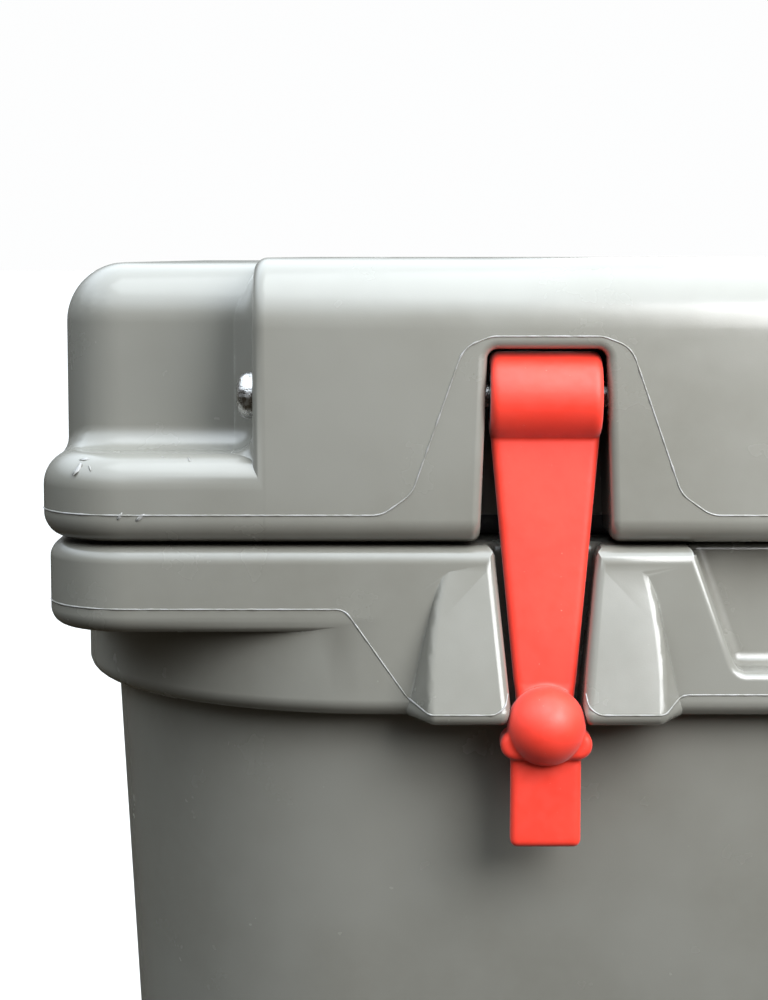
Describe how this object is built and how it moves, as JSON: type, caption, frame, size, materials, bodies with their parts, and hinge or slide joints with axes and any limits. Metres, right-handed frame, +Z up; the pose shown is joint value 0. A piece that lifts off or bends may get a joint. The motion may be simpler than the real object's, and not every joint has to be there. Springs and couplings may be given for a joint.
{
  "type": "hard cooler chest",
  "caption": "Rectangular double-walled insulated chest with a hinged attached lid, corner recesses, rubber T-latches, moulded hand pockets, rubber feet and an end drain.",
  "frame": {"origin": "on the ground, under the middle of the whole object's outline, latches included", "axes": "+Z up, +X along the long side to the right, -Y towards the front with the latches"},
  "size_m": [0.56, 0.4162, 0.3935],
  "materials": {
    "chest_shell": "satin",
    "latch_rubber": "matte",
    "steel": "satin",
    "foam": "matte",
    "black_rubber": "matte",
    "bush_plastic": "satin",
    "drain_plastic": "satin",
    "fill_plugs": "satin"
  },
  "bodies": {
    "root": {"body_shell": "chest_shell", "body_foam": "foam", "body_fill_plug": "fill_plugs", "hinge_bush_left": "bush_plastic", "hinge_bush_right": "bush_plastic", "drain_fitting": "drain_plastic", "drain_seal": "black_rubber", "drain_nut": "drain_plastic", "foot_front_left": "black_rubber", "foot_front_right": "black_rubber", "foot_rear_left": "black_rubber", "foot_rear_right": "black_rubber", "foot_screws": "steel"},
    "lid": {"lid_shell": "chest_shell", "lid_foam": "foam", "lid_fill_plug": "fill_plugs", "lid_gasket": "black_rubber", "latch_pin_left": "steel", "latch_pin_right": "steel", "hinge_rod_left": "steel", "hinge_rod_right": "steel"},
    "latch_left": {"latch_bush_left": "bush_plastic", "latch_strap_left": "latch_rubber"},
    "latch_left_hook": {"latch_end_left": "latch_rubber"},
    "latch_right": {"latch_bush_right": "bush_plastic", "latch_strap_right": "latch_rubber"},
    "latch_right_hook": {"latch_end_right": "latch_rubber"},
    "plug": {"drain_plug": "drain_plastic", "plug_o_ring": "black_rubber"}
  },
  "joints": [
    {"name": "lid_hinge", "type": "hinge", "parent": "root", "child": "lid", "pos_m": [0, 0.1921, 0.329], "axis": [-1, 0, 0], "range_deg": [0, 100]},
    {"name": "latch_left_swing", "type": "hinge", "parent": "lid", "child": "latch_left", "pos_m": [-0.135, -0.1819, 0.3545], "axis": [-1, 0, 0], "range_deg": [0, 95]},
    {"name": "latch_left_stretch", "type": "slide", "parent": "latch_left", "child": "latch_left_hook", "axis": [0, 0, -1], "range_m": [0, 0.008], "stiffness_N_per_m": 1500, "deforming": ["latch_strap_left"]},
    {"name": "latch_right_swing", "type": "hinge", "parent": "lid", "child": "latch_right", "pos_m": [0.135, -0.1819, 0.3545], "axis": [-1, 0, 0], "range_deg": [0, 95]},
    {"name": "latch_right_stretch", "type": "slide", "parent": "latch_right", "child": "latch_right_hook", "axis": [0, 0, -1], "range_m": [0, 0.008], "stiffness_N_per_m": 1500, "deforming": ["latch_strap_right"]},
    {"name": "drain_plug_pull", "type": "slide", "parent": "root", "child": "plug", "axis": [1, 0, 0], "range_m": [0, 0.03]}
  ]
}
